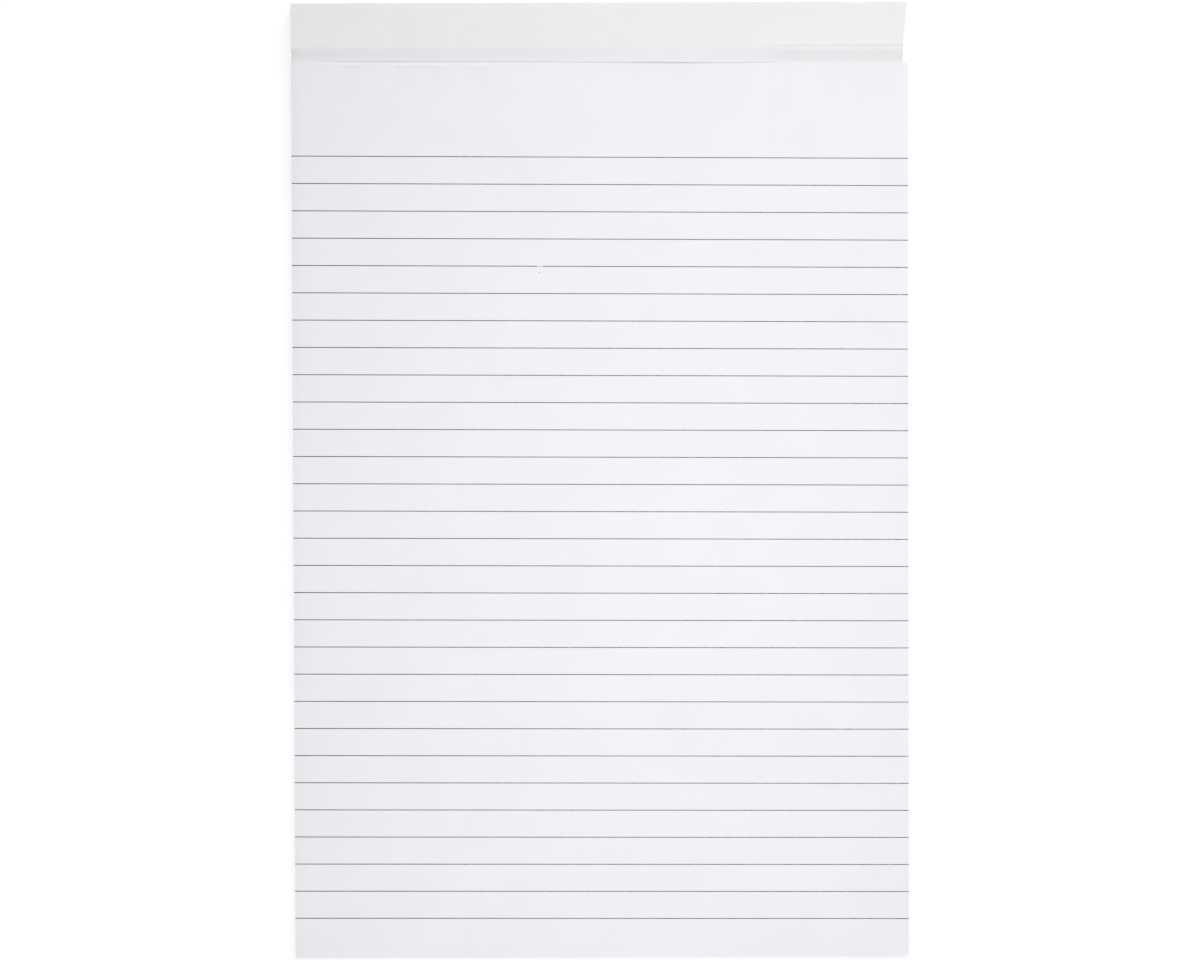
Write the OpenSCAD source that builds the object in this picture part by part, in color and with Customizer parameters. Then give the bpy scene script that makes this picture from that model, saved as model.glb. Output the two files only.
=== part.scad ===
// Legal pad: ruled, perforated sheets gummed along one edge to a chipboard back, with a paper
// binding strip folded over the bound edge. The pad lies on its back. X runs across the sheets,
// +Y points to the bound edge and +Z out of the writing face. The origin is the middle of the
// back. All sizes are in millimetres.

/* [Sheets] */
// Width of the sheets
sheet_w = 215.9; // [100:0.1:300]
// Length of the pad, from the outside of the binding to the foot of the sheets
pad_l = 335.2; // [180:0.1:450]
// Number of sheets
sheet_count = 50; // [20:1:100]
// Thickness of one sheet
sheet_t = 0.1; // [0.06:0.01:0.2]
// How much the glue between the sheets swells the bound edge
swell = 0.5; // [0.1:0.05:1]

/* [Backing board] */
// Thickness of the chipboard
board_t = 0.8; // [0.5:0.1:2]

/* [Binding] */
// Thickness of the film of padding glue on the bound edge
glue_t = 0.4; // [0.2:0.05:0.6]
// Thickness of the binding strip's paper
strip_t = 0.2; // [0.1:0.05:0.3]
// How far the front of the strip runs level from the outside of the binding
level_run = 15; // [8:0.1:25]
// How far the front of the strip then slopes down to the sheets
slope_run = 5.8; // [2:0.1:10]
// How much is trimmed off the right of the bound end, at the fold
trim_fold = 0.3; // [0.1:0.1:2]
// How much is trimmed off there where the strip slopes, because the cut runs askew
trim_flap = 1.8; // [0.1:0.1:4]

/* [Perforation] */
// Distance from the strip's lower edge down to the line of slits
perf_drop = 1.9; // [1:0.1:5]
// Length of one slit
slit_l = 0.8; // [0.4:0.1:1]
// Width of one slit
slit_w = 0.1; // [0.05:0.05:0.4]
// Distance from one slit to the next
slit_pitch = 1.6; // [1.4:0.1:4]

/* [Ruling] */
// Blank header from the strip's lower edge to the first rule
header_l = 33.2; // [10:0.1:60]
// Distance from one rule to the next
rule_pitch = 9.55; // [5:0.05:15]
// Least blank foot below the last rule
foot_min = 10; // [2:0.5:30]
// Width of a printed rule
rule_w = 0.25; // [0.1:0.05:1]
// Thickness of the printed ink
ink_t = 0.02; // [0.01:0.01:0.05]

/* [Hidden] */
$fn = 48;

// Steps in the curve of the slope
SLOPE_STEPS = 12;
// How far a cut reaches past the faces that it opens
CUT_PAST = 1;

// Places along Y, from the outside of the binding to the foot
y_fold = pad_l / 2;
y_bound = y_fold - strip_t - glue_t;
y_level = y_fold - level_run;
y_flap = y_level - slope_run;
y_perf = y_flap - perf_drop;
y_first_rule = y_flap - header_l;
y_foot = -pad_l / 2;

// Heights, from the back to the writing face
z_page = board_t + sheet_count * sheet_t;
z_bound = z_page + swell;

rule_count = floor((y_first_rule - y_foot - foot_min) / rule_pitch) + 1;
slit_count = floor(sheet_w / slit_pitch) - 1;

// Rise of the page over its flat part at share s of the slope, which eases in and out
function slope_rise(s) = swell * (1 - s * s * (3 - 2 * s));

// Front surface from the bound edge to the strip's lower edge, raised by lift
function front_curve(lift) = concat(
    [[y_bound, z_bound + lift]],
    [for (i = [0 : SLOPE_STEPS])
        let (s = i / SLOPE_STEPS)
        [y_level - s * slope_run, z_page + slope_rise(s) + lift]]
);

// Side section in Y and Z, drawn out across the width of the sheets
module across_sheets() {
    rotate([90, 0, 90]) linear_extrude(sheet_w, center = true) children();
}

// Bar along the bound edge with rounded front and back, reaching out by reach
module bound_bar(reach) {
    z_low = strip_t + glue_t;
    z_high = z_bound - glue_t;
    translate([y_bound - reach, z_low]) square([2 * reach, z_high - z_low]);
    for (z = [z_low, z_high]) translate([y_bound, z]) circle(reach);
}

// Side section of the bound end, grown by grow, as far as the strip's lower edge
module bound_section(grow) {
    polygon(concat(
        [[y_flap, strip_t - grow], [y_bound, strip_t - grow]],
        front_curve(grow)
    ));
    bound_bar(glue_t + grow);
}

// Row of perforation slits, right through the sheets
module perforation() {
    for (i = [0 : slit_count - 1])
        translate([(i - (slit_count - 1) / 2) * slit_pitch, y_perf, (board_t + z_page) / 2])
            cube([slit_l, slit_w, z_page - board_t + 2 * CUT_PAST], center = true);
}

// Plan of what is trimmed off the right of the bound end, beside the strip
module end_waste() {
    side = sheet_w / 2;
    polygon([
        [side - trim_flap, y_flap],
        [side - trim_flap, y_level],
        [side - trim_fold, y_fold],
        [side - trim_fold, y_fold + CUT_PAST],
        [side + CUT_PAST, y_fold + CUT_PAST],
        [side + CUT_PAST, y_flap]
    ]);
}

// Layer of the pad, with the right of its bound end trimmed
module trimmed() {
    difference() {
        children();
        translate([0, 0, -CUT_PAST])
            linear_extrude(z_bound + strip_t + 2 * CUT_PAST) end_waste();
    }
}

// The ruled sheets, as one block that swells at the bound edge
module sheet_block() {
    color("whitesmoke") trimmed() difference() {
        across_sheets() polygon(concat(
            [[y_foot, board_t], [y_bound, board_t]],
            front_curve(0),
            [[y_foot, z_page]]
        ));
        perforation();
    }
}

// The printed rules of the top sheet, from side to side
module ruling() {
    color("darkgray")
        for (i = [0 : rule_count - 1])
            translate([-sheet_w / 2, y_first_rule - i * rule_pitch - rule_w / 2, z_page])
                cube([sheet_w, rule_w, ink_t]);
}

// The chipboard back, pressed in by the strip's thickness where the strip lies on it
module backing_board() {
    color("tan") trimmed() across_sheets() polygon([
        [y_foot, 0],
        [y_flap, 0],
        [y_flap, strip_t],
        [y_bound, strip_t],
        [y_bound, board_t],
        [y_foot, board_t]
    ]);
}

// The film of padding glue that holds the sheets and the board together
module glue_film() {
    color("ivory") trimmed() across_sheets() intersection() {
        bound_bar(glue_t);
        translate([y_bound, 0]) square([glue_t, z_bound]);
    }
}

// The paper strip that is folded over the bound edge, as far down the back as the front
module binding_strip() {
    color("gainsboro") trimmed() across_sheets() difference() {
        bound_section(strip_t);
        bound_section(0);
    }
}

sheet_block();
ruling();
backing_board();
glue_film();
binding_strip();
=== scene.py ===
# Looks of the legal pad: its sheets, rules, board and binding strip as meshes with node materials,
# on a pale floor under two soft lamps, seen from almost straight above.
import math
import random

import bpy
from mathutils import Matrix, Vector


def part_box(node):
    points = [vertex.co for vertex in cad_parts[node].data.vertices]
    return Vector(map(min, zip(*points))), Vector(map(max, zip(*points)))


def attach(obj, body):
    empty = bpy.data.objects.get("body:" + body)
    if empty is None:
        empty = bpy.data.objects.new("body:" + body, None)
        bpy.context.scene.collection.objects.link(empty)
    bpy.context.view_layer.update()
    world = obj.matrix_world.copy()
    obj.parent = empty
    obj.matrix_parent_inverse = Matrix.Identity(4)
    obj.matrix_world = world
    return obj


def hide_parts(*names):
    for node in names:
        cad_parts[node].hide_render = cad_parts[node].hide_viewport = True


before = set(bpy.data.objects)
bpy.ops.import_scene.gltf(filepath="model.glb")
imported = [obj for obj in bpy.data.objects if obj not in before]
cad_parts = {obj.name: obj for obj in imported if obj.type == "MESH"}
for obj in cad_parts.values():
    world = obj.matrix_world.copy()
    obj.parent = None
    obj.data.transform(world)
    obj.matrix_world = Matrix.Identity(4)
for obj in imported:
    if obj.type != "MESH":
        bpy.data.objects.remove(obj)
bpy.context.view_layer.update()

MM = 0.001
BODY = "root"
SEED = 29
# Mesh edges that turn by more than this stay sharp
SHARP_ANGLE = math.radians(30)

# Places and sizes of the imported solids
sheets_low, sheets_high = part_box("sheet_block")
strip_low, strip_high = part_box("binding_strip")
rules_low, rules_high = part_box("ruling")
half_w = sheets_high.x
y_foot = sheets_low.y
y_bound = sheets_high.y
y_fold = strip_high.y
y_back_flap = strip_low.y
z_board = sheets_low.z
z_page = rules_low.z
z_bound = sheets_high.z
strip_t = strip_high.z - z_bound
glue_t = y_fold - y_bound - strip_t

# Binding strip, measured down from the fold: its crease, and its lower edge at either side
LEVEL_RUN = 15.0 * MM
FLAP_LEFT = 19.9 * MM
FLAP_RIGHT = 21.4 * MM
# What the askew cut takes off the right of the bound end, and how short the step below it is
TRIM_FOLD = 0.3 * MM
TRIM_FLAP = 1.8 * MM
TRIM_STEP = 0.15 * MM
# Height of the strip's front over the page at its lower edge, by share of the width
EDGE_LIFT = (
    (0.0, 0.05 * MM), (0.03, 0.07 * MM), (0.11, 0.22 * MM), (0.26, 0.17 * MM), (0.42, 0.15 * MM),
    (0.50, 0.18 * MM), (0.58, 0.27 * MM), (0.65, 0.26 * MM), (0.70, 0.15 * MM), (0.765, 0.13 * MM),
    (0.80, 0.0), (1.0, 0.0),
)
# How far the level front sinks towards the crease, by share of the width
CREASE_SAG = (
    (0.12, 0.0), (0.26, 0.14 * MM), (0.42, 0.16 * MM), (0.50, 0.18 * MM), (0.62, 0.32 * MM),
    (0.70, 0.32 * MM), (0.765, 0.20 * MM), (0.80, 0.0),
)
# Towards the right the crease turns crisp, with a low ridge and a fall in two steps
CRISP_FROM = 0.77
CRISP_FULL = 0.81
CRISP_FALL = ((0.0, 1.0), (0.08, 0.87), (0.18, 0.855), (0.30, 0.80), (0.88, 0.055), (1.0, 0.0))
RIDGE_HIGH = 0.05 * MM
RIDGE_HALF = 1.2 * MM
RIDGE_FADE = 4.0 * MM
# Least thickness of the strip, where its lower edge is pressed to the page
STRIP_EDGE_T = 0.02 * MM
# Run of the step in the board, where the strip's back flap is pressed in
REBATE_RUN = 0.02 * MM
# How far the painted shade along the fold reaches down the front
FOLD_SHADE_REACH = 0.9 * MM
# Nick in the left side, beside the slope of the strip
NICK_DOWN = 17.7 * MM
NICK_HALF = 1.8 * MM
NICK_DEPTH = 0.45 * MM
NICK_DIP = 0.32 * MM
NICK_REACH = 1.3 * MM
# Crumple in the strip just above the nick
CRUMPLE_DOWN = 16.3 * MM
CRUMPLE_HALF = 1.0 * MM
CRUMPLE_HIGH = 0.075 * MM

# Sheets: their cut edges are a hair out of line, the cut presses their sides down a little, and
# the foot corners of the upper ones curl up
SHEET_COUNT = 50
SHEET_GAP = 0.004 * MM
EDGE_INSET = 0.06 * MM
SIDE_DROOP = 0.2 * MM
DROOP_REACH = 4.0 * MM
CURL_HIGH = 0.25 * MM
CURL_REACH = 40.0 * MM
CURL_FADE = 8

# Perforation below the strip's lower edge
PERF_DROP = 1.9 * MM
SLIT_L = 0.8 * MM
SLIT_PITCH = 1.6 * MM
SLIT_CLOSED = 0.03 * MM
SLIT_OPEN = 0.2 * MM
# Stretches, by share of the width, where the slits gape and their lips stand up
GAPING = ((0.02, 0.11), (0.17, 0.26), (0.28, 0.34))
LIP_HIGH = 0.06 * MM
LIP_RUN = 0.45 * MM

# Rules, printed a little askew, the first more than the last
RULE_COUNT = 29
RULE_W = 0.28 * MM
SKEW_FIRST = math.radians(0.41)
SKEW_LAST = math.radians(0.165)
INK_LOW = 0.002 * MM
INK_HIGH = 0.008 * MM
# Flaw in one rule: a short stretch is only a hairline, with a speck of its ink below
FLAW_RULE = 4
FLAW_FROM = -22.0 * MM
FLAW_TO = -20.0 * MM
FLAW_W = 0.09 * MM
SPECK_X = -21.3 * MM
SPECK_DROP = 2.0 * MM
SPECK_L = 0.35 * MM
SPECK_W = 0.175 * MM

y_level = y_fold - LEVEL_RUN
rng = random.Random(SEED)


def clamp(t):
    return min(max(t, 0.0), 1.0)


def mix(a, b, t):
    return a + (b - a) * t


def smooth(t):
    """0 to 1, eased in and out."""
    t = clamp(t)
    return t * t * (3 - 2 * t)


def hump(t):
    """Smooth hump of height 1 between -1 and 1."""
    return (1 - t * t) ** 2 if abs(t) < 1 else 0.0


def through(points, t, ease):
    """Value at t on a curve that runs from each (place, value) to the next, eased by a function."""
    for (start, low), (end, high) in zip(points, points[1:]):
        if t <= end:
            return mix(low, high, ease((t - start) / (end - start)))
    return points[-1][1]


def steps(start, end, count):
    """Evenly spaced values from start to end."""
    return [mix(start, end, i / count) for i in range(count + 1)]


def share(x):
    """Share of the pad's width at x, 0 at the left."""
    return (x + half_w) / (2 * half_w)


def flap_y(x):
    """Lower edge of the strip, which is cut a little askew."""
    return y_fold - mix(FLAP_LEFT, FLAP_RIGHT, share(x))


def nick(y):
    """1 at the middle of the nick, 0 above and below it."""
    return hump((y_fold - NICK_DOWN - y) / NICK_HALF)


def left_edge(y):
    return -half_w + NICK_DEPTH * nick(y)


def right_edge(y, trimmed):
    if not trimmed:
        return half_w
    return half_w - mix(TRIM_FLAP, TRIM_FOLD, clamp((y - y_level) / LEVEL_RUN))


def row_y(v, x):
    """Y at row value v: 0 at the foot, 1 at the strip's lower edge, 2 at its crease, 3 at the bound edge."""
    stops = (y_foot, flap_y(x), y_level, y_bound)
    low = min(int(v), len(stops) - 2)
    return mix(stops[low], stops[low + 1], v - low)


def page_row(drop):
    """Row value at a distance below the strip's lower edge, measured in the middle of the width."""
    return 1 - drop / (flap_y(0.0) - y_foot)


def plan(u, v):
    """Place in plan at share u of the width and row value v."""
    y = row_y(v, mix(-half_w, half_w, u))
    return mix(left_edge(y), right_edge(y, v >= 1), u), y


def crispness(x):
    return smooth((share(x) - CRISP_FROM) / (CRISP_FULL - CRISP_FROM))


def fall(x, y):
    """Height that is left on the slope: 1 at the crease, 0 at the strip's lower edge and below it."""
    s = clamp((y_level - y) / (y_level - flap_y(x)))
    return mix(1 - smooth(s), through(CRISP_FALL, s, clamp), crispness(x))


def page_z(x, y):
    """Height of the top sheet."""
    slope = fall(x, y)
    sag = through(CREASE_SAG, share(x), smooth) * clamp((y_bound - y) / (y_bound - y_level))
    side = 1 - clamp((half_w - abs(x)) / DROOP_REACH)
    droop = SIDE_DROOP * side * side * (1 - slope)
    dip = NICK_DIP * nick(y) * (1 - clamp((x + half_w) / NICK_REACH)) ** 2
    return z_page + (z_bound - z_page - sag) * slope - droop - dip


def curl(x, y):
    """How far the foot corners of the top sheet curl up."""
    out = clamp(1 - (half_w - abs(x) + y - y_foot) / CURL_REACH)
    return CURL_HIGH * out * out


def strip_rise(x, y):
    """Height of the strip's front face over the page."""
    lift = through(EDGE_LIFT, share(x), smooth)
    return max(mix(lift, strip_t, fall(x, y)), STRIP_EDGE_T)


def ridge(x, y):
    """How far the level front sinks beside the crisp crease, which is left as a ridge."""
    if y < y_level:
        return 0.0
    away = 1 - hump((y - y_level) / RIDGE_HALF)
    return RIDGE_HIGH * crispness(x) * away * smooth((y_bound - y) / RIDGE_FADE)


def crumple(x, y):
    """Height of the crumple over the strip beside it."""
    down = hump((y_fold - CRUMPLE_DOWN - y) / CRUMPLE_HALF)
    return CRUMPLE_HIGH * down * hump((x + half_w) / NICK_REACH)


def closed_sheet(top, bottom, gaps=frozenset()):
    """Points and faces of a closed sheet between two grids of points, open at the gap cells (row, column)."""
    rows = len(top)
    columns = len(top[0])
    points = [point for grid in (top, bottom) for row in grid for point in row]
    cells = {(j, i) for j in range(rows - 1) for i in range(columns - 1)} - gaps
    under = rows * columns
    faces = []
    for j, i in sorted(cells):
        corner = j * columns + i
        ring = (corner, corner + 1, corner + columns + 1, corner + columns)
        faces.append(ring)
        faces.append(tuple(n + under for n in reversed(ring)))
        for side, beside in enumerate(((j - 1, i), (j, i + 1), (j + 1, i), (j, i - 1))):
            if beside not in cells:
                start = ring[side]
                end = ring[(side + 1) % len(ring)]
                faces.append((start + under, end + under, end, start))
    return points, faces


def joined(sheets):
    """Several closed sheets as one list of points and faces."""
    points = []
    faces = []
    for more_points, more_faces in sheets:
        first = len(points)
        points += more_points
        faces += [tuple(n + first for n in face) for face in more_faces]
    return points, faces


def make_piece(name, shape, material, node):
    """Makes a mesh piece that stands for a CAD node."""
    points, faces = shape
    mesh = bpy.data.meshes.new(name)
    mesh.from_pydata(points, [], faces)
    mesh.materials.append(material)
    mesh.shade_smooth()
    mesh.set_sharp_from_angle(angle=SHARP_ANGLE)
    piece = bpy.data.objects.new(name, mesh)
    bpy.context.scene.collection.objects.link(piece)
    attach(piece, BODY)
    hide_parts(node)


# Sheets, with rows of points by row value and columns by share of the width

PAGE_ROWS = steps(0.0, 0.96, 24)
PERF_ROW = page_row(PERF_DROP)
NOTCH_ROW = page_row(TRIM_STEP)
SLOPE_ROWS = steps(1.0, 2.0, 14)
LEVEL_ROWS = steps(2.0, 3.0, 6)[1:]
# Closer together at the sides, where the sheets droop
SIDE_COLUMNS = [0.0, 0.004, 0.009, 0.014, 0.02]
STACK_COLUMNS = SIDE_COLUMNS + steps(0.1, 0.9, 8) + [1 - u for u in reversed(SIDE_COLUMNS)]


def stack_face(columns, rows, up, insets=(0.0, 0.0, 0.0)):
    """Grid of points on one face of a sheet, at share up of the stack's height."""
    left, right, foot = insets
    lifted = up ** CURL_FADE
    grid = []
    for v in rows:
        row = []
        for u in columns:
            x, y = plan(u, v)
            z = mix(z_board, page_z(x, y), up) + curl(x, y) * lifted
            row.append(Vector((x + mix(left, -right, u), y + foot * clamp(1 - v), z)))
        grid.append(row)
    return grid


def lower_sheet(number):
    """One sheet of the stack, in fewer rows than the top one, its cut edges a hair out of line."""
    rows = PAGE_ROWS[::4] + [PERF_ROW, NOTCH_ROW] + SLOPE_ROWS[::2] + LEVEL_ROWS[1::2]
    insets = [rng.random() * EDGE_INSET for _ in range(3)]
    bottom = stack_face(STACK_COLUMNS, rows, number / SHEET_COUNT, insets)
    top = stack_face(STACK_COLUMNS, rows, (number + 1) / SHEET_COUNT, insets)
    for row in bottom:
        for point in row:
            point.z += SHEET_GAP
    return closed_sheet(top, bottom)


slit_count = int(2 * half_w / SLIT_PITCH) - 1
slit_xs = [(n - (slit_count - 1) / 2) * SLIT_PITCH for n in range(slit_count)]
# One column at either end of every slit
TOP_COLUMNS = [0.0] + [share(x + end * SLIT_L / 2) for x in slit_xs for end in (-1, 1)] + [1.0]


def slit_gape(x):
    """How far a slit gapes, from 0, pressed shut, to 1."""
    draw = rng.random()
    return draw if any(start < share(x) < end for start, end in GAPING) else 0.0


def open_slits(lower_row, upper_row, gapes):
    """Parts two rows of points, and lifts them, by how far each column gapes."""
    for low, high, gape in zip(lower_row, upper_row, gapes):
        width = mix(SLIT_CLOSED, SLIT_OPEN, gape)
        low.y -= width / 2
        high.y += width / 2
        low.z += LIP_HIGH * gape
        high.z += LIP_HIGH * gape


def top_sheet():
    """The top sheet, with its row of perforation slits cut through."""
    lip_below = page_row(PERF_DROP + LIP_RUN)
    lip_above = page_row(PERF_DROP - LIP_RUN)
    perforation = [lip_below, PERF_ROW, PERF_ROW, lip_above]
    rows = PAGE_ROWS + perforation + [NOTCH_ROW] + SLOPE_ROWS + LEVEL_ROWS
    slit_row = len(PAGE_ROWS) + 1
    top = stack_face(TOP_COLUMNS, rows, 1.0)
    bottom = stack_face(TOP_COLUMNS, rows, 1 - 1 / SHEET_COUNT)
    gapes = [slit_gape(x) for x in slit_xs]
    by_column = [0.0] + [gape for gape in gapes for _ in range(2)] + [0.0]
    for face in (top, bottom):
        open_slits(face[slit_row], face[slit_row + 1], by_column)
    slits = frozenset((slit_row, 1 + 2 * n) for n in range(slit_count))
    return closed_sheet(top, bottom, slits)


# Rules

def ribbon(middle, width):
    """Thin band of ink on the page, along the (x, y) places of its middle."""
    def edge(side, high):
        return [Vector((x, y + side * width / 2, page_z(x, y) + curl(x, y) + high)) for x, y in middle]

    def face(high):
        return [edge(-1, high), edge(1, high)]

    return closed_sheet(face(INK_HIGH), face(INK_LOW))


def rule_y(number):
    """Y of a rule at the middle of its length."""
    first = rules_high.y - RULE_W / 2
    last = rules_low.y + RULE_W / 2
    return mix(first, last, number / (RULE_COUNT - 1))


def rule_band(number, xs, width):
    """Stretch of a rule through the xs."""
    y = rule_y(number)
    lean = math.tan(mix(SKEW_FIRST, SKEW_LAST, number / (RULE_COUNT - 1)))
    return ribbon([(x, y - lean * x) for x in xs], width)


def flawed_rule(xs):
    """The rule with the flaw, in three stretches, and the speck below it."""
    left = [x for x in xs if x < FLAW_FROM] + [FLAW_FROM]
    right = [FLAW_TO] + [x for x in xs if x > FLAW_TO]
    speck_y = rule_y(FLAW_RULE) - SPECK_DROP
    speck = [(SPECK_X + end * SPECK_L / 2, speck_y) for end in (-1, 1)]
    return [
        rule_band(FLAW_RULE, left, RULE_W),
        rule_band(FLAW_RULE, [FLAW_FROM, FLAW_TO], FLAW_W),
        rule_band(FLAW_RULE, right, RULE_W),
        ribbon(speck, SPECK_W),
    ]


def rules():
    """All the rules, from side to side."""
    xs = [mix(-half_w, half_w, u) for u in TOP_COLUMNS]
    bands = []
    for number in range(RULE_COUNT):
        if number == FLAW_RULE:
            bands += flawed_rule(xs)
        else:
            bands.append(rule_band(number, xs, RULE_W))
    return joined(bands)


# Binding, with rows and columns closer together at the crease and at the nick

FRONT_ROWS = (
    steps(1.0, 1.8, 16)
    + steps(1.82, 2.0, 9)
    + steps(2.0, 2.2, 10)[1:]
    + steps(2.2, 3.0, 8)[1:-1]
)
STRIP_COLUMNS = steps(0.0, 0.01, 8) + steps(0.02, 1.0, 98)
ARC_STEPS = 6
FACE_STEPS = 3
FLAP_STEPS = 6
BOARD_STEPS = 12


def wrap_path(thick):
    """Y and Z along the strip from the top of the bound edge round to the end of its back flap, thick out."""
    reach = glue_t + thick
    z_front = z_bound - glue_t
    z_back = strip_t + glue_t
    angles = steps(0.0, math.pi / 2, ARC_STEPS)
    over = [(y_bound + reach * math.sin(a), z_front + reach * math.cos(a)) for a in angles]
    face = [(y_bound + reach, z) for z in steps(z_front, z_back, FACE_STEPS)[1:-1]]
    under = [(y_bound + reach * math.cos(a), z_back - reach * math.sin(a)) for a in angles]
    back = [(y, strip_t - thick) for y in steps(y_bound, y_back_flap, FLAP_STEPS)[1:]]
    return over + face + under + back


def strip_front():
    """Grids of points on the outside and the inside of the strip's front, from its lower edge up."""
    outer = []
    inner = []
    for v in FRONT_ROWS:
        outer_row = []
        inner_row = []
        for u in STRIP_COLUMNS:
            x, y = plan(u, v)
            rise = strip_rise(x, y)
            z = page_z(x, y) + rise - ridge(x, y) + crumple(x, y)
            outer_row.append(Vector((x, y, z)))
            inner_row.append(Vector((x, y, z - min(rise, strip_t))))
        outer.append(outer_row)
        inner.append(inner_row)
    return outer, inner


def strip():
    """The strip, folded over the bound edge, with its front eased down to the page."""
    outer, inner = strip_front()
    for rows, thick in ((outer, strip_t), (inner, 0.0)):
        for y, z in wrap_path(thick):
            left = left_edge(y)
            right = right_edge(y, True)
            rows.append([Vector((mix(left, right, u), y, z)) for u in STRIP_COLUMNS])
    return closed_sheet(outer, inner)


def board():
    """The chipboard back, pressed in where the strip's back flap lies on it."""
    y_notch = flap_y(half_w)
    rebate = y_back_flap + REBATE_RUN
    full = steps(y_foot, y_notch - TRIM_STEP, BOARD_STEPS)
    bound_end = [y_notch, y_back_flap, rebate, mix(rebate, y_bound, 0.5), y_bound]
    top = []
    bottom = []
    for y in full + bound_end:
        left = left_edge(y)
        right = right_edge(y, y >= y_notch)
        xs = [mix(left, right, u) for u in STACK_COLUMNS]
        top.append([Vector((x, y, z_board)) for x in xs])
        bottom.append([Vector((x, y, strip_t if y >= rebate else 0.0)) for x in xs])
    return closed_sheet(top, bottom)


# Materials, with linear colours

PAGE_DULL = (0.885, 0.889, 0.923)
PAGE_CLEAR = (0.905, 0.909, 0.941)
EDGE_DULL = (0.72, 0.725, 0.74)
EDGE_CLEAR = (0.92, 0.923, 0.938)
STRIP_DULL = (0.847, 0.855, 0.868)
STRIP_CLEAR = (0.865, 0.873, 0.886)
# Darker strip colours: painted shade along the fold and over the bound edge
FOLD_SHADE_DULL = (0.72, 0.725, 0.73)
FOLD_SHADE_CLEAR = (0.79, 0.795, 0.80)
PULP_DARK = (0.36, 0.3, 0.225)
PULP_PALE = (0.47, 0.405, 0.315)
FLECK_DARK = (0.13, 0.1, 0.07)
FLECK_PLAIN = (0.42, 0.36, 0.275)
FLECK_PALE = (0.72, 0.66, 0.56)
GLUE_DULL = (0.78, 0.76, 0.68)
GLUE_CLEAR = (0.88, 0.87, 0.81)


def grey(level):
    return (level, level, level)


def new_material(name, roughness, specular):
    made = bpy.data.materials.new(name)
    made.use_nodes = True
    shader = made.node_tree.nodes["Principled BSDF"]
    shader.inputs["Roughness"].default_value = roughness
    shader.inputs["Specular IOR Level"].default_value = specular
    return made, made.node_tree, shader


def noise(tree, scale, detail, stretch=(1.0, 1.0, 1.0)):
    """Noise over the pad's own coordinates, finer along an axis with a larger stretch."""
    place = tree.nodes.new("ShaderNodeTexCoord")
    mapping = tree.nodes.new("ShaderNodeMapping")
    mapping.inputs["Scale"].default_value = stretch
    texture = tree.nodes.new("ShaderNodeTexNoise")
    texture.inputs["Scale"].default_value = scale
    texture.inputs["Detail"].default_value = detail
    tree.links.new(place.outputs["Object"], mapping.inputs["Vector"])
    tree.links.new(mapping.outputs["Vector"], texture.inputs["Vector"])
    return texture.outputs["Fac"]


def ramp(tree, factor, *stops):
    """Colour from a factor, through stops of (place, linear colour)."""
    node = tree.nodes.new("ShaderNodeValToRGB")
    elements = node.color_ramp.elements
    while len(elements) < len(stops):
        elements.new(1.0)
    for element, (place, colour) in zip(elements, stops):
        element.position = place
        element.color = (*colour, 1.0)
    tree.links.new(factor, node.inputs["Fac"])
    return node.outputs["Color"]


def blend_colour(tree, factor, first, second):
    """Mixes two colours by a factor that varies over the surface."""
    node = tree.nodes.new("ShaderNodeMix")
    node.data_type = "RGBA"
    tree.links.new(factor, node.inputs["Factor"])
    tree.links.new(first, node.inputs["A"])
    tree.links.new(second, node.inputs["B"])
    return node.outputs["Result"]


def add_bump(tree, shader, height, strength, distance):
    node = tree.nodes.new("ShaderNodeBump")
    node.inputs["Strength"].default_value = strength
    node.inputs["Distance"].default_value = distance
    tree.links.new(height, node.inputs["Height"])
    tree.links.new(node.outputs["Normal"], shader.inputs["Normal"])


def along_axis(tree, axis, start, end):
    """0 to 1 between two places along an axis of the pad."""
    place = tree.nodes.new("ShaderNodeTexCoord")
    axes = tree.nodes.new("ShaderNodeSeparateXYZ")
    reach = tree.nodes.new("ShaderNodeMapRange")
    reach.inputs["From Min"].default_value = start
    reach.inputs["From Max"].default_value = end
    tree.links.new(place.outputs["Object"], axes.inputs["Vector"])
    tree.links.new(axes.outputs[axis], reach.inputs["Value"])
    return reach.outputs["Result"]


def page_material():
    """Uncoated writing paper: cool white, faintly clouded, with a fine tooth."""
    made, tree, shader = new_material("page_paper", roughness=0.88, specular=0.2)
    clouds = noise(tree, scale=45.0, detail=5.0)
    tint = ramp(tree, clouds, (0.3, PAGE_DULL), (0.7, PAGE_CLEAR))
    tree.links.new(tint, shader.inputs["Base Color"])
    tooth = noise(tree, scale=2600.0, detail=4.0)
    add_bump(tree, shader, tooth, strength=0.12, distance=0.02 * MM)
    return made


def edge_material():
    """The same paper seen on its cut edges: streaked along the sheets, some a little greyer."""
    made, tree, shader = new_material("stack_paper", roughness=0.9, specular=0.15)
    streaks = noise(tree, scale=30.0, detail=5.0, stretch=(0.6, 0.6, 50.0))
    tint = ramp(tree, streaks, (0.35, EDGE_DULL), (0.62, EDGE_CLEAR))
    tree.links.new(tint, shader.inputs["Base Color"])
    tooth = noise(tree, scale=1800.0, detail=3.0)
    add_bump(tree, shader, tooth, strength=0.15, distance=0.03 * MM)
    return made


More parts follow.
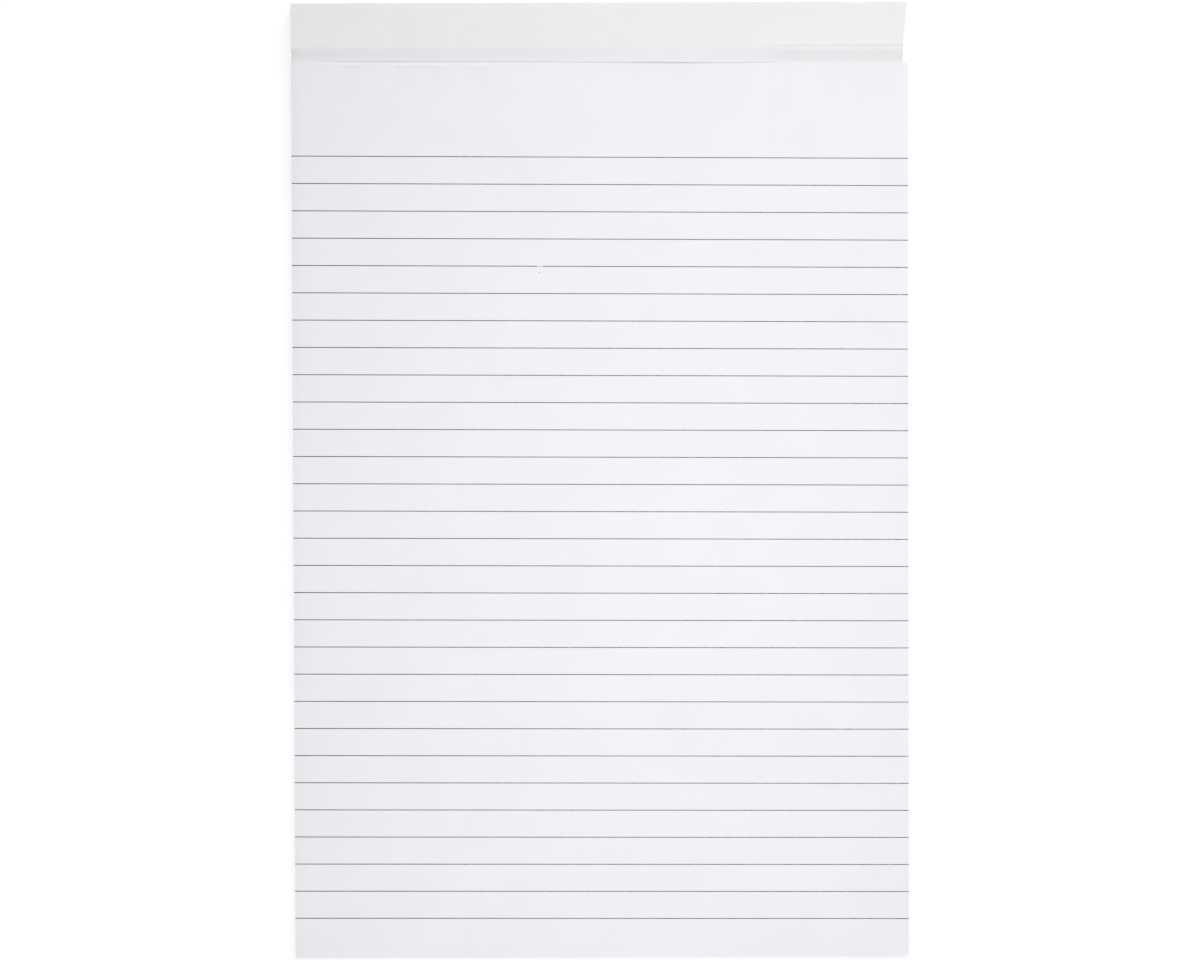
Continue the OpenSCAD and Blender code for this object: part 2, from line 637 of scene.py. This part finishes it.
def strip_material():
    """Smooth binding paper: neutral white, a little duller than the page, with painted shade along the fold.
    """
    made, tree, shader = new_material("strip_paper", roughness=0.62, specular=0.25)
    clouds = noise(tree, scale=70.0, detail=4.0)
    tint = ramp(tree, clouds, (0.3, STRIP_DULL), (0.7, STRIP_CLEAR))
    # Painted shade: towards the fold the strip takes the darker colours
    fold_shade = ramp(tree, clouds, (0.3, FOLD_SHADE_DULL), (0.7, FOLD_SHADE_CLEAR))
    fold = along_axis(tree, "Y", y_fold - FOLD_SHADE_REACH, y_fold - strip_t)
    tree.links.new(blend_colour(tree, fold, tint, fold_shade), shader.inputs["Base Color"])
    grain = noise(tree, scale=900.0, detail=3.0)
    add_bump(tree, shader, grain, strength=0.06, distance=0.02 * MM)
    return made


def ink_material():
    """Thin grey printed ink that breaks up a little, heavier towards the left."""
    made, tree, shader = new_material("rule_ink", roughness=0.8, specular=0.2)
    specks = noise(tree, scale=900.0, detail=2.0)
    heavy = ramp(tree, specks, (0.35, grey(0.03)), (0.7, grey(0.1)))
    light = ramp(tree, specks, (0.35, grey(0.08)), (0.7, grey(0.24)))
    rightward = along_axis(tree, "X", -half_w, 0.0)
    tree.links.new(blend_colour(tree, rightward, heavy, light), shader.inputs["Base Color"])
    return made


def board_material():
    """Chipboard: grey-brown pulp with pale and dark flecks and short fibres."""
    made, tree, shader = new_material("chipboard", roughness=0.92, specular=0.15)
    pulp = ramp(tree, noise(tree, scale=60.0, detail=6.0), (0.3, PULP_DARK), (0.7, PULP_PALE))
    fibres = noise(tree, scale=500.0, detail=4.0, stretch=(1.0, 0.25, 1.0))
    flecks = ramp(
        tree, fibres, (0.28, FLECK_DARK), (0.4, FLECK_PLAIN), (0.62, FLECK_PLAIN), (0.78, FLECK_PALE),
    )
    spread = noise(tree, scale=220.0, detail=2.0)
    tree.links.new(blend_colour(tree, spread, pulp, flecks), shader.inputs["Base Color"])
    add_bump(tree, shader, fibres, strength=0.35, distance=0.05 * MM)
    return made


def glue_material():
    """Dried padding glue: off-white, slightly glossy, brushed along the edge."""
    made, tree, shader = new_material("padding_glue", roughness=0.38, specular=0.5)
    brushed = noise(tree, scale=250.0, detail=3.0, stretch=(0.2, 1.0, 1.5))
    tint = ramp(tree, brushed, (0.3, GLUE_DULL), (0.7, GLUE_CLEAR))
    tree.links.new(tint, shader.inputs["Base Color"])
    add_bump(tree, shader, brushed, strength=0.3, distance=0.05 * MM)
    return made


# Pieces

stack = joined([lower_sheet(number) for number in range(SHEET_COUNT - 1)])
make_piece("sheet_stack", stack, edge_material(), "sheet_block")
make_piece("top_sheet", top_sheet(), page_material(), "sheet_block")
make_piece("rules", rules(), ink_material(), "ruling")
make_piece("chipboard_back", board(), board_material(), "backing_board")
make_piece("folded_strip", strip(), strip_material(), "binding_strip")
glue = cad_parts["glue_film"]
glue.data.materials.clear()
glue.data.materials.append(glue_material())

# Floor, world and lamps

FLOOR_HALF = 3.0
FLOOR_ALBEDO = 0.8
# The seen floor glows, fully from GLOW_TO outwards, and its share of lamp light shows the shadow
FLOOR_GLOW = 0.8
FLOOR_SHADE = 0.28
GLOW_FROM = 0.2
GLOW_TO = 0.45
FILL = 0.2
KEY_PLACE = (0.31, 0.89, 0.45)
KEY_TARGET = (0.15, -0.10, 0.0)
KEY_SIZE = (0.30, 0.50)
KEY_WATTS = 6.6
TOP_PLACE = (0.0, -0.13, 0.50)
TOP_TARGET = (0.095, -0.20, 0.0)
TOP_SIZE = (0.30, 0.57)
TOP_WATTS = 1.84


def seen_by_eye(tree):
    """1 for rays from the camera and for reflected and transmitted ones, 0 for light that bounces."""
    path = tree.nodes.new("ShaderNodeLightPath")
    seen = path.outputs["Is Camera Ray"]
    for other in ("Is Glossy Ray", "Is Transmission Ray"):
        larger = tree.nodes.new("ShaderNodeMath")
        larger.operation = "MAXIMUM"
        tree.links.new(seen, larger.inputs[0])
        tree.links.new(path.outputs[other], larger.inputs[1])
        seen = larger.outputs["Value"]
    return seen


def diffuse(tree, level):
    shader = tree.nodes.new("ShaderNodeBsdfDiffuse")
    shader.inputs["Color"].default_value = (*grey(level), 1.0)
    return shader.outputs["BSDF"]


def floor_glow(tree):
    """Glow of the seen floor, which grows with the distance from the pad."""
    place = tree.nodes.new("ShaderNodeTexCoord")
    far = tree.nodes.new("ShaderNodeVectorMath")
    far.operation = "LENGTH"
    strength = tree.nodes.new("ShaderNodeMapRange")
    strength.inputs["From Min"].default_value = GLOW_FROM
    strength.inputs["From Max"].default_value = GLOW_TO
    strength.inputs["To Min"].default_value = FLOOR_GLOW
    glow = tree.nodes.new("ShaderNodeEmission")
    tree.links.new(place.outputs["Object"], far.inputs[0])
    tree.links.new(far.outputs["Value"], strength.inputs["Value"])
    tree.links.new(strength.outputs["Result"], glow.inputs["Strength"])
    return glow.outputs["Emission"]


def floor_material():
    """Pale floor that looks white, greys a little in the pad's shadow and bounces plain light."""
    made = bpy.data.materials.new("floor")
    made.use_nodes = True
    tree = made.node_tree
    tree.nodes.clear()
    both = tree.nodes.new("ShaderNodeAddShader")
    choose = tree.nodes.new("ShaderNodeMixShader")
    output = tree.nodes.new("ShaderNodeOutputMaterial")
    tree.links.new(floor_glow(tree), both.inputs[0])
    tree.links.new(diffuse(tree, FLOOR_SHADE), both.inputs[1])
    tree.links.new(seen_by_eye(tree), choose.inputs["Fac"])
    tree.links.new(diffuse(tree, FLOOR_ALBEDO), choose.inputs[1])
    tree.links.new(both.outputs["Shader"], choose.inputs[2])
    tree.links.new(choose.outputs["Shader"], output.inputs["Surface"])
    return made


def make_floor():
    corners = [(sx * FLOOR_HALF, sy * FLOOR_HALF, 0.0) for sx, sy in ((-1, -1), (1, -1), (1, 1), (-1, 1))]
    mesh = bpy.data.meshes.new("floor")
    mesh.from_pydata(corners, [], [(0, 1, 2, 3)])
    mesh.materials.append(floor_material())
    floor = bpy.data.objects.new("floor", mesh)
    bpy.context.scene.collection.objects.link(floor)


def make_world():
    """Even fill light, seen as white."""
    world = bpy.data.worlds.new("studio")
    world.use_nodes = True
    tree = world.node_tree
    background = tree.nodes["Background"]
    background.inputs["Color"].default_value = (1.0, 1.0, 1.0, 1.0)
    strength = tree.nodes.new("ShaderNodeMapRange")
    strength.inputs["To Min"].default_value = FILL
    tree.links.new(seen_by_eye(tree), strength.inputs["Value"])
    tree.links.new(strength.outputs["Result"], background.inputs["Strength"])
    bpy.context.scene.world = world


def make_lamp(name, place, target, size, watts):
    """Soft rectangular lamp at place, facing target."""
    data = bpy.data.lights.new(name, "AREA")
    data.shape = "RECTANGLE"
    data.size, data.size_y = size
    data.energy = watts
    lamp = bpy.data.objects.new(name, data)
    aim = (Vector(target) - Vector(place)).normalized()
    side = aim.cross(Vector((0.0, 1.0, 0.0))).normalized()
    up = side.cross(aim)
    turn = Matrix((side, up, -aim)).transposed().to_4x4()
    lamp.matrix_world = Matrix.Translation(place) @ turn
    lamp.visible_camera = False
    bpy.context.scene.collection.objects.link(lamp)


make_floor()
make_world()
make_lamp("key_lamp", KEY_PLACE, KEY_TARGET, KEY_SIZE, KEY_WATTS)
make_lamp("top_lamp", TOP_PLACE, TOP_TARGET, TOP_SIZE, TOP_WATTS)

# Camera, almost straight above, turned (in degrees) and shifted to meet the pad's edges in the photo

CAMERA_FAR = 1.2
CAMERA_TURN = (1.348, -0.279, 0.175)
CAMERA_SHIFT = (0.2 * MM, -0.54 * MM)
FOCAL_PX = 3420.0
IMAGE_W = 1200
SENSOR_W = 36.0


def make_camera():
    data = bpy.data.cameras.new("camera")
    data.sensor_width = SENSOR_W
    data.lens = SENSOR_W * FOCAL_PX / IMAGE_W
    camera = bpy.data.objects.new("camera", data)
    bpy.context.scene.collection.objects.link(camera)
    pad_to_camera = Matrix.Translation((*CAMERA_SHIFT, -CAMERA_FAR))
    for angle, axis in zip(reversed(CAMERA_TURN), "ZYX"):
        pad_to_camera = pad_to_camera @ Matrix.Rotation(math.radians(angle), 4, axis)
    camera.matrix_world = Matrix.Translation((0.0, 0.0, z_page)) @ pad_to_camera.inverted()
    bpy.context.scene.camera = camera


make_camera()
bpy.context.scene.view_settings.view_transform = "Standard"
